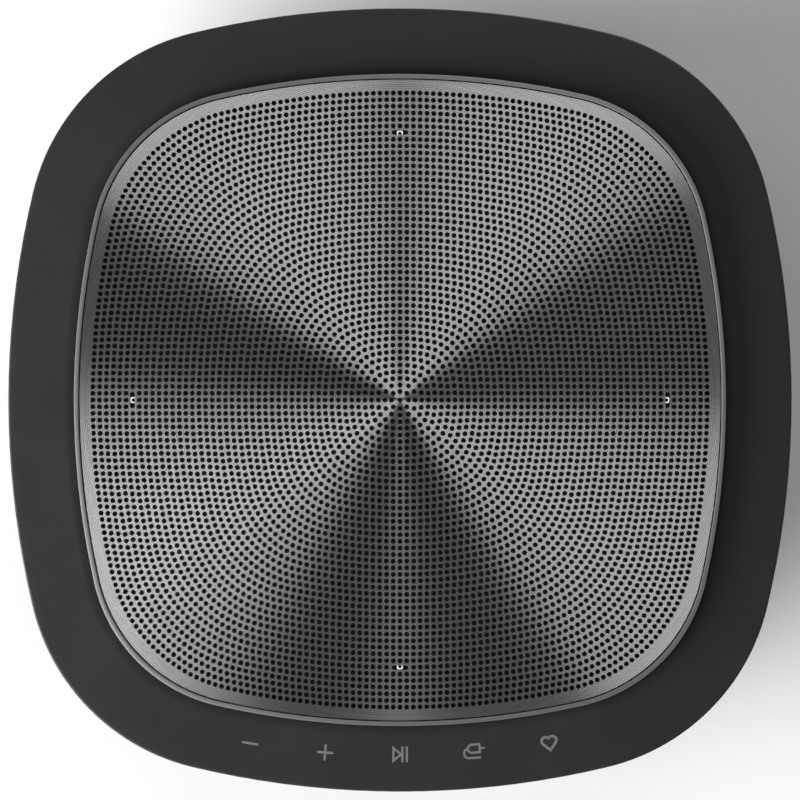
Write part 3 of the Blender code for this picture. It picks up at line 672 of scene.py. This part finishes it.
def make_acoustic_cloth():
    """A single layer of cloth, stretched flat over the rib of the grille's frame."""
    rings = [CLOTH_HALF * share for share in (0.02, 0.2, 0.4, 0.6, 0.8, 1.0)]
    loops = [[(x, y, CLOTH_Z) for x, y in squircle(half, INNER)] for half in rings]
    bm = bmesh.new()
    rows = [[bm.verts.new(p) for p in loop] for loop in loops]
    bm.faces.new(rows[0])
    for a, b in zip(rows, rows[1:]):
        for i in range(len(a)):
            j = (i + 1) % len(a)
            bm.faces.new((a[i], b[i], b[j], a[j]))
    cloth = from_bmesh("acoustic_cloth", bm, LOOKS["black_cloth"])
    fit(cloth, "black_cloth", "acoustic_mesh")


def horseshoe(shrink):
    """(along the ring, outwards) points of a ferrule's section, open towards the sheet's centre."""
    wide, far, near, round_r = 0.66 * MM - shrink, 0.38 * MM - shrink, -0.50 * MM + shrink, 0.33 * MM - shrink
    bore_r, bore_at = 0.42 * MM + shrink, -0.25 * MM
    outer = [(wide, near)]
    for side, start in ((1, 0), (-1, 90)):
        turns = [math.radians(start + 90 * i / 8) for i in range(9)]
        corner = (side * (wide - round_r), far - round_r)
        outer += [(corner[0] + round_r * math.cos(t), corner[1] + round_r * math.sin(t)) for t in turns]
    outer.append((-wide, near))
    low = math.asin((near - bore_at) / bore_r)
    turns = np.linspace(math.pi - low, low, 20)
    inner = [(bore_r * math.cos(t), bore_at + bore_r * math.sin(t)) for t in turns]
    return outer + inner


def make_mic_sleeves():
    """Horseshoe ferrules that stand in the slots, with softened rims. Their near-white colour is a painted
    highlight in place of the nickel's gloss.
    """
    for i, side in enumerate(("right", "back", "left", "front")):
        node = "mic_sleeve_" + side
        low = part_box(node)[0].z
        turn = i * math.pi / 2
        out = (math.cos(turn), math.sin(turn))
        cx, cy = MIC_RADIUS * out[0], MIC_RADIUS * out[1]
        top = float(sheet_z(cx, cy))
        loops = []
        for z, shrink in ((low, 0), (top - 0.08 * MM, 0), (top - 0.03 * MM, 0.015 * MM), (top, 0.05 * MM)):
            rim = []
            for along, outwards in horseshoe(shrink):
                x = cx - along * out[1] + outwards * out[0]
                y = cy + along * out[0] + outwards * out[1]
                rim.append((x, y, z))
            loops.append(rim)
        fit(loft("mic_ferrule_" + side, loops, LOOKS["ferrule"], closed=False), "nickel", node)


# ---- the casing -----------------------------------------------------------------------------------
def make_top_cover():
    skirt_z = PARTING_Z + 0.3 * MM
    tray_low = TRAY_Z - 1.8 * MM
    skirt_in = BODY_HALF - 1.14 * MM
    tray_in, tray_out = 69.5 * MM, 76.2 * MM
    edge_r = 0.5 * MM
    edge = arc_points((BODY_HALF - edge_r, BAND_OUTER_Z - 0.07 * MM - edge_r), edge_r, 0, 85, 7)
    band = [(BODY_HALF - 0.15 * MM, skirt_z, OUTER), (BODY_HALF, skirt_z + 0.15 * MM, OUTER)]
    band += [(half, z, OUTER) for half, z in edge]
    outer_half, outer_z = edge[-1]
    inner_half, inner_z = RECESS_HALF + 0.25 * MM, BAND_INNER_Z - 0.01 * MM
    for i in range(1, BAND_ROWS):
        t = i / BAND_ROWS
        shape = tuple(a + (b - a) * t for a, b in zip(OUTER, INNER))
        band.append((outer_half + (inner_half - outer_half) * t, outer_z + (inner_z - outer_z) * t, shape))
    tray = [(inner_half, inner_z, INNER), (RECESS_HALF + 0.07 * MM, BAND_INNER_Z - 0.09 * MM, INNER),
            (RECESS_HALF, BAND_INNER_Z - 0.25 * MM, INNER), (RECESS_HALF, TRAY_Z, INNER),
            (tray_in, TRAY_Z, INNER), (tray_in, tray_low, INNER), (tray_out, tray_low, INNER)]
    underside = [(tray_out, BAND_INNER_Z - 2.6 * MM, INNER), (86.0 * MM, BAND_OUTER_Z - 2.2 * MM, OUTER),
                 (skirt_in, BAND_OUTER_Z - 3.1 * MM, OUTER), (skirt_in, skirt_z, OUTER)]
    cover = outlined("cover_moulding", band + tray + underside, LOOKS["soft_plastic"])
    return fit(cover, "soft_plastic", "top_cover")


def tub_wall():
    wall = [(0.0705, BASE_Z), (0.0745, 0.0034), (0.0782, 0.0070), (0.0820, 0.0145),
            (0.0856, 0.0260), (0.0879, 0.0380), (BODY_HALF, PARTING_Z)]
    return smooth_path(wall, 5)


def make_lower_housing():
    base_seat = BASE_HALF + 0.4 * MM
    tongue_top = PARTING_Z + 2.5 * MM
    wall = tub_wall()
    outside = [(base_seat, BASE_Z + 0.25 * MM), (base_seat + 0.25 * MM, BASE_Z)] + wall[:-1]
    outside += [(BODY_HALF, PARTING_Z - 0.15 * MM), (BODY_HALF - 0.15 * MM, PARTING_Z)]
    tongue = [(0.0873, PARTING_Z), (0.0872, tongue_top), (0.0864, tongue_top)]
    inside = [(0.0854, 0.0380), (0.0831, 0.0260), (0.0794, 0.0148), (0.0760, LEDGE_TOP_Z)]
    ledge = [(0.0600, LEDGE_TOP_Z), (0.0600, LEDGE_Z), (base_seat, LEDGE_Z)]
    section = [(half, z, OUTER) for half, z in outside + tongue + inside + ledge]
    housing = outlined("tub_moulding", section, LOOKS["soft_plastic"])

    pad_y = 0.0753
    floor_y = 0.0790
    pad_size = (0.0270, 0.0070, 0.0015)
    pad = slab("pad", 0, 0.0145, [(pad_y, *pad_size), (BODY_HALF - 0.4 * MM, *pad_size)], None)
    inner_wall = [(half - 1.0 * MM, z, OUTER) for half, z in wall]
    carve(pad, outlined("tub_volume", inner_wall, None, closed=False), "INTERSECT")
    carve(housing, pad, "UNION")
    pocket = [(floor_y, 0.0238, 0.0043, 0.0030), (floor_y + 0.3 * MM, 0.0240, 0.0045, 0.0032),
              (BODY_HALF + 1 * MM, 0.0246, 0.0051, 0.0038)]
    carve(housing, slab("pocket", 0, USB_Z, pocket, None, steps=8))
    near_y, far_y = pad_y - 1.3 * MM, floor_y + 2 * MM
    hole_size = (0.00475, 0.00185, 0.0018)
    carve(housing, slab("usb_hole", 0, USB_Z, [(near_y, *hole_size), (far_y, *hole_size)], None))
    for x, z, radius in ((JACK_X, JACK_Z, 2.9), (POWER_X, POWER_Z, 3.4)):
        hole = [(radius * MM, near_y), (radius * MM, far_y)]
        carve(housing, lathe("round_hole", hole, None, (x, 0, z), "Y", count=40))
    fit(housing, "soft_plastic", "lower_housing")


def make_base():
    corners = ((1, 1), (-1, 1), (-1, -1), (1, -1))
    screw_at = 0.0700 * math.sqrt(0.5)
    post_at = 0.0500 * math.sqrt(0.5)
    spots = [(a * screw_at, b * screw_at) for a, b in corners]
    section = [(BASE_HALF - 0.6 * MM, BASE_Z, OUTER), (BASE_HALF - 0.2 * MM, BASE_Z + 0.1 * MM, OUTER),
               (BASE_HALF, BASE_Z + 0.5 * MM, OUTER), (BASE_HALF, BASE_TOP_Z, OUTER)]
    plate = outlined("base_moulding", section, LOOKS["soft_plastic"], closed=False)
    for a, b in corners:
        post = [(2.5 * MM, BASE_Z + 1 * MM), (2.5 * MM, 0.0093)]
        carve(plate, lathe("post", post, None, (a * post_at, b * post_at, 0), count=24), "UNION")
    for x, y in spots:
        sink = [(2.9 * MM, BASE_Z - 1 * MM), (2.9 * MM, BASE_Z + 1.7 * MM)]
        carve(plate, lathe("sink", sink, None, (x, y, 0), count=32))
        bore = [(1.5 * MM, BASE_Z), (1.5 * MM, BASE_TOP_Z + 1 * MM)]
        carve(plate, lathe("bore", bore, None, (x, y, 0), count=24))
    fit(plate, "soft_plastic", "base_plate")

    foot_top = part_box("foot_ring")[1].z
    inner = FOOT_HALF - 4.5 * MM
    section = [(inner, foot_top), (inner, 0.6 * MM)]
    section += arc_points((inner + 0.6 * MM, 0.6 * MM), 0.6 * MM, 190, 270, 5)
    section += [(inner + 1.6 * MM, 0), (inner + 1.75 * MM, 0.25 * MM), (inner + 2.75 * MM, 0.25 * MM)]
    section.append((inner + 2.9 * MM, 0))
    section += arc_points((FOOT_HALF - 0.6 * MM, 0.6 * MM), 0.6 * MM, 270, 360, 5) + [(FOOT_HALF, foot_top)]
    ring = outlined("foot_moulding", [(half, z, OUTER) for half, z in section], LOOKS["rubber"])
    fit(ring, "rubber", "foot_ring")

    for i, (x, y) in enumerate(spots):
        node = f"base_screw_{i + 1}"
        low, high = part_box(node)
        seat = BASE_Z + 1.4 * MM
        head = [(1.7 * MM, low.z), (2.1 * MM, low.z + 0.12 * MM), (2.4 * MM, low.z + 0.5 * MM),
                (2.45 * MM, low.z + 0.9 * MM), (2.4 * MM, seat), (1.1 * MM, seat)]
        for turn in range(8):
            head += [(1.1 * MM, seat + (0.3 + 0.5 * turn) * MM), (0.85 * MM, seat + (0.55 + 0.5 * turn) * MM)]
        head += [(1.0 * MM, high.z - 0.6 * MM), (0.6 * MM, high.z)]
        screw = lathe("base_screw_head_" + str(i + 1), head, LOOKS["steel"], (x, y, 0), count=32)
        for half_w, half_h in ((1.3 * MM, 0.28 * MM), (0.28 * MM, 1.3 * MM)):
            loops = []
            for z in (low.z - 1 * MM, low.z + 1 * MM):
                loops.append([(x + a * half_w, y + b * half_h, z) for a, b in corners])
            carve(screw, loft("cross", loops, None, closed=False))
        fit(screw, "steel", node)


# ---- the driver's soft rings ----------------------------------------------------------------------
def hang(obj, inner_r, outer_r):
    """Makes a ring bend with the cone's travel: all of it at inner_r, none at outer_r."""
    middle_z = obj.data.vertices[0].co.z
    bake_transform(obj, "chassis", "diaphragm", (outer_r, 0, middle_z), (inner_r, 0, middle_z))
    share = obj.data.attributes["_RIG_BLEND"].data
    for vertex, weight in zip(obj.data.vertices, share):
        t = min(1.0, max(0.0, (outer_r - math.hypot(vertex.co.x, vertex.co.y)) / (outer_r - inner_r)))
        weight.value = t * t * (3 - 2 * t)
    return obj


def make_suspension():
    """The half-roll surround and the pleated spider, glued to the cone inside and to the basket outside."""
    low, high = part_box("driver_surround")
    rim_z, outer_r = low.z, high.x
    crest = high.z - rim_z
    lip = 0.5 * MM
    roll_r = 35.0 * MM
    steps = 16
    under = [(30.6 * MM, rim_z)]
    under += [(roll_r - (crest - lip) * math.cos(t), rim_z + (crest - lip) * math.sin(t))
              for t in np.linspace(0, math.pi, steps)]
    under.append((outer_r, rim_z))
    first = math.asin(lip / crest)
    over = [(outer_r, rim_z + lip)]
    over += [(roll_r + crest * math.cos(t), rim_z + crest * math.sin(t))
             for t in np.linspace(first, math.pi - first, steps)]
    over.append((30.6 * MM, rim_z + lip))
    surround = lathe("surround_roll", under + over, LOOKS["rubber"], closed=True, count=96)
    fit(hang(surround, roll_r - crest, roll_r + crest), "rubber", "driver_surround")

    low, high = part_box("driver_spider")
    thick = 0.4 * MM
    swing = high.z - thick - low.z
    hub_r, pleated_r, rim_r, pleats = 11.0 * MM, 24.0 * MM, high.x, 5
    under = []
    for i in range(8 * pleats):
        r = hub_r + (pleated_r - hub_r) * i / (8 * pleats)
        under.append((r, low.z + swing * (0.5 - 0.5 * math.cos(math.pi * i / 8))))
    for i in range(6):
        t = i / 5
        fall = 0.5 + 0.5 * math.cos(math.pi * t)
        under.append((pleated_r + (rim_r - pleated_r) * t, low.z + swing * fall))
    over = [(r, z + thick) for r, z in reversed(under)]
    spider = lathe("spider_pleats", under + over, LOOKS["black_cloth"], closed=True, count=96)
    fit(hang(spider, hub_r + 0.7 * MM, pleated_r + 1.0 * MM), "black_cloth", "driver_spider")


# ---- sockets and button at the back ---------------------------------------------------------------
def make_sockets():
    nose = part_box("usb_c_socket")[1].y
    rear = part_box("usb_c_socket")[0].y
    shell = [(rear, 4.5, 1.6, 1.55), (nose - 0.12 * MM, 4.5, 1.6, 1.55), (nose, 4.42, 1.52, 1.47),
             (nose - 0.02 * MM, 4.25, 1.35, 1.3), (nose - 0.2 * MM, 4.2, 1.3, 1.25), (0.0725, 4.2, 1.3, 1.25)]
    shell = [(y, w * MM, h * MM, r * MM) for y, w, h, r in shell]
    usb = slab("usb_c_shell", 0, USB_Z, shell, LOOKS["nickel"], steps=8)
    fit(usb, "nickel", "usb_c_socket")
    tongue = [(0.0722, 3.3, 0.35, 0.1), (nose - 1.7 * MM, 3.3, 0.35, 0.1), (nose - 1.5 * MM, 3.2, 0.25, 0.1)]
    tongue = [(y, w * MM, h * MM, r * MM) for y, w, h, r in tongue]
    fit(slab("usb_c_tongue", 0, USB_Z, tongue, LOOKS["black_plastic"], steps=2), "black_plastic")
    contact_size = (0.13 * MM, 0.02 * MM, 0.01 * MM)
    for i in range(12):
        x = (i - 5.5) * 0.5 * MM
        for row, z in (("upper", USB_Z + 0.35 * MM), ("lower", USB_Z - 0.35 * MM)):
            contact = [(0.0745, *contact_size), (nose - 1.9 * MM, *contact_size)]
            fit(slab(f"usb_c_contact_{row}_{i + 1}", x, z, contact, LOOKS["nickel"], steps=1), "nickel")

    low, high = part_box("audio_jack")
    x, z = JACK_X, JACK_Z
    block_size = (3.1 * MM, (high.z - low.z) / 2, 0.4 * MM)
    body = slab("audio_jack_body", x, (low.z + high.z) / 2, [(low.y, *block_size), (0.0748, *block_size)],
                LOOKS["black_plastic"], steps=3)
    barrel = [(2.6 * MM, 0.0700), (2.6 * MM, nose - 0.2 * MM), (2.4 * MM, nose), (2.0 * MM, nose)]
    carve(body, lathe("barrel", barrel, None, (x, 0, z), "Y"), "UNION")
    bore = [(1.78 * MM, 0.0650), (1.78 * MM, nose - 0.15 * MM), (2.1 * MM, nose + 0.2 * MM)]
    carve(body, lathe("bore", bore, None, (x, 0, z), "Y"))
    fit(body, "black_plastic", "audio_jack")
    collar = [(1.76 * MM, 0.0730), (1.76 * MM, nose - 0.25 * MM), (1.60 * MM, nose - 0.35 * MM),
              (1.60 * MM, 0.0730)]
    fit(lathe("audio_jack_collar", collar, LOOKS["nickel"], (x, 0, z), "Y", closed=True), "nickel")


def make_power_button():
    low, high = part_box("power_button")
    face = high.y
    section = [(4.0 * MM, low.y), (4.0 * MM, low.y + 0.8 * MM), (3.0 * MM, low.y + 0.9 * MM),
               (3.0 * MM, face - 0.45 * MM)]
    section += arc_points((2.55 * MM, face - 0.45 * MM), 0.45 * MM, 0, 80, 5)
    section += [(1.8 * MM, face - 0.06 * MM), (0.9 * MM, face - 0.12 * MM), (0.2 * MM, face - 0.14 * MM)]
    button = lathe("power_button_cap", section, LOOKS["black_plastic"], (POWER_X, 0, POWER_Z), "Y")
    fit(button, "black_plastic", "power_button", body="power_key")


# ---- printed key marks ----------------------------------------------------------------------------
def offset_path(points, closed, width):
    """The two sides of a stroke of even width along a path, with mitred corners."""
    pts = np.array(points, float)
    n = len(pts)
    left, right = [], []
    for i in range(n):
        before = pts[(i - 1) % n] if closed or i else pts[i]
        after = pts[(i + 1) % n] if closed or i < n - 1 else pts[i]
        a, b = pts[i] - before, after - pts[i]
        a = a / np.linalg.norm(a) if np.linalg.norm(a) > 0 else b / np.linalg.norm(b)
        b = b / np.linalg.norm(b) if np.linalg.norm(b) > 0 else a
        normal = np.array([-(a + b)[1], (a + b)[0]])
        normal /= np.linalg.norm(normal)
        stretch = 1 / max(0.35, float(normal @ np.array([-a[1], a[0]])))
        left.append(pts[i] + normal * width / 2 * stretch)
        right.append(pts[i] - normal * width / 2 * stretch)
    return left, right


def stroke_faces(points, closed, width, round_ends):
    """Convex outlines that together fill a stroke."""
    left, right = offset_path(points, closed, width)
    n = len(left)
    polygons = []
    for i in range(n if closed else n - 1):
        j = (i + 1) % n
        polygons.append([right[i], right[j], left[j], left[i]])
    if not closed and round_ends:
        for end, near in ((0, 1), (-1, -2)):
            along = np.array(points[end], float) - np.array(points[near], float)
            lean = math.atan2(along[1], along[0])
            fan = [np.array(points[end]) + width / 2 * np.array([math.cos(lean + t), math.sin(lean + t)])
                   for t in np.linspace(-math.pi / 2, math.pi / 2, 7)]
            polygons.append(fan)
    return polygons


def icon_paths():
    """Each key's strokes in millimetres: (points, closed, stroke width, round ends)."""
    bar = 1.62
    minus = [([(-bar, 0), (bar, 0)], False, 0.54, True)]
    plus = minus + [([(0, -bar), (0, bar)], False, 0.54, True)]
    play = [([(-1.54, 1.44), (-1.54, -1.44), (0.19, 0)], True, 0.52, False),
            ([(0.50, -1.81), (0.50, 1.81)], False, 0.52, False),
            ([(1.50, -1.81), (1.50, 1.81)], False, 0.52, False)]
    body = arc_points((-0.33, 0.83), 0.91, 90, 270, 12) + [(1.43, -0.08), (1.43, 1.74)]
    plug = [(body, True, 0.50, False), ([(1.50, 0.83), (2.42, 0.83)], False, 0.46, True),
            (arc_points((-1.10, -0.20), 1.08, 95, 270, 14) + [(1.42, -1.28)], False, 0.50, True)]
    half = arc_points((0.75, 0.46), 0.93, 143.5, -43, 16)
    heart = half + [(0, -1.71)] + [(-x, y) for x, y in half[:0:-1]]
    heart = [(heart, True, 0.60, False)]
    return {"minus": minus, "plus": plus, "play_pause": play, "plug": plug, "heart": heart}


def make_icons(cover):
    """Thin prints that follow the cover's upper face."""
    look = Look("key_print")
    ink = look.noise(3500, 3)
    look.set(Base_Color=look.mix(look.spread(ink, 0, 1), grey(0.135), grey(0.165)))
    look.set(Roughness=look.spread(ink, 0.45, 0.6))
    look.set(Normal=look.bump(ink, 5e-6, 0.3))
    mesh = cover.data
    surface = BVHTree.FromPolygons([v.co for v in mesh.vertices], [p.vertices for p in mesh.polygons])
    places = {"minus": (-33.95, -77.8), "plus": (-16.96, -79.87), "play_pause": (0.05, -80.3),
              "plug": (16.68, -79.82), "heart": (33.84, -77.65)}
    for name, strokes in icon_paths().items():
        cx, cy = places[name]
        turn = math.atan2(cx * MM, KEY_ARC_CENTRE_Y - cy * MM)
        bm = bmesh.new()
        for layer, (path, closed, width, round_ends) in enumerate(strokes):
            rise = (0.045 + 0.004 * layer) * MM
            for polygon in stroke_faces([(x * MM, y * MM) for x, y in path], closed, width * MM, round_ends):
                top, low = [], []
                for px, py in polygon:
                    x = cx * MM + px * math.cos(turn) - py * math.sin(turn)
                    y = cy * MM + px * math.sin(turn) + py * math.cos(turn)
                    z = surface.ray_cast(Vector((x, y, 0.1)), Vector((0, 0, -1)))[0].z
                    top.append(bm.verts.new((x, y, z + rise)))
                    low.append(bm.verts.new((x, y, z - 0.02 * MM)))
                bm.faces.new(top)
                for i in range(len(top)):
                    j = (i + 1) % len(top)
                    bm.faces.new((top[i], low[i], low[j], top[j]))
                bm.faces.new(low[::-1])
        icon = from_bmesh("key_mark_" + name, bm, look.material)
        fit(icon, "clear_plastic")


# ---- stage, lights and camera ---------------------------------------------------------------------
def make_floor():
    look = Look("studio_floor")
    paper = look.noise(9, 4)
    look.set(Base_Color=look.mix(look.spread(paper, 0, 1), grey(0.92), grey(0.95)), Roughness=0.85)
    look.set(Normal=look.bump(look.noise(900), 1e-5, 0.2))
    rings = [0.01, 0.3, 1.5, 6.0, 30.0]
    turns = [2 * math.pi * i / 64 for i in range(64)]
    bm = bmesh.new()
    loops = [[bm.verts.new((r * math.cos(t), r * math.sin(t), 0)) for t in turns] for r in rings]
    bm.faces.new(loops[0])
    for a, b in zip(loops, loops[1:]):
        for i in range(64):
            j = (i + 1) % 64
            bm.faces.new((a[i], b[i], b[j], a[j]))
    floor = from_bmesh("studio_floor", bm, look.material)


def softbox(name, azimuth, zenith, distance, spread, height, power):
    """An oval lamp that faces the grille and takes up spread degrees of azimuth, height up the line to it."""
    a, e = math.radians(azimuth), math.radians(zenith)
    away = Vector((math.sin(e) * math.cos(a), math.sin(e) * math.sin(a), math.cos(e)))
    lamp = bpy.data.lights.new(name, "AREA")
    lamp.shape = "ELLIPSE"
    lamp.size = 2 * distance * math.sin(e) * math.tan(math.radians(spread / 2))
    lamp.size_y = height
    lamp.energy = power
    obj = bpy.data.objects.new(name, lamp)
    obj.location = Vector((0, 0, SHEET_EDGE_Z)) + away * distance
    obj.rotation_mode = "QUATERNION"
    obj.rotation_quaternion = (-away).to_track_quat("-Z", "Y")
    obj.visible_camera = False
    bpy.context.scene.collection.objects.link(obj)


# Name, azimuth, zenith, distance in metres, spread, height in metres and power in watts
LAMPS = [
    ("key_left", 210, 67.5, 2.0, 67, 0.9, 95),
    ("low_right", 70, 80, 2.5, 50, 0.6, 30),
    ("fill_right", 328.5, 30, 1.2, 60, 0.24, 0.785),
    ("top_right", 61.5, 30, 1.2, 54, 0.24, 0.62),
    ("top_left", 120.5, 30, 1.2, 59, 0.24, 0.81),
    ("front_strip", 270, 30, 1.2, 9, 0.24, 0.045),
]
WORLD = 0.112


def make_studio():
    make_floor()
    for lamp in LAMPS:
        softbox(*lamp)
    world = bpy.data.worlds.new("studio")
    bpy.context.scene.world = world
    world.use_nodes = True
    world.node_tree.nodes["Background"].inputs["Color"].default_value = (WORLD, WORLD, WORLD * 1.015, 1)
    bpy.context.scene.view_settings.view_transform = "Standard"
    bpy.context.scene.view_settings.look = "None"

    distance, span = 1.40, 0.1808
    camera = bpy.data.cameras.new("camera")
    camera.sensor_width = 36
    camera.lens = 36 * distance / span
    camera.clip_start, camera.clip_end = 0.05, 60
    obj = bpy.data.objects.new("camera", camera)
    obj.location = (0, 0, SHEET_EDGE_Z + distance)
    bpy.context.scene.collection.objects.link(obj)
    bpy.context.scene.camera = obj


# ---- assembly -------------------------------------------------------------------------------------
make_studio()
make_perforated_sheet()
make_trim_ring()
make_acoustic_cloth()
make_mic_sleeves()
cover = make_top_cover()
make_lower_housing()
make_base()
make_suspension()
make_sockets()
make_power_button()
make_icons(cover)

SLOT_OF = {entry["node"]: entry["material_slot"] for entry in frame["record"]["subparts"]}
for name, node in frame["nodes"].items():
    look = LOOKS.get(SLOT_OF.get(name, ""), LOOKS["black_plastic"])
    node.data.materials.clear()
    node.data.materials.append(look)
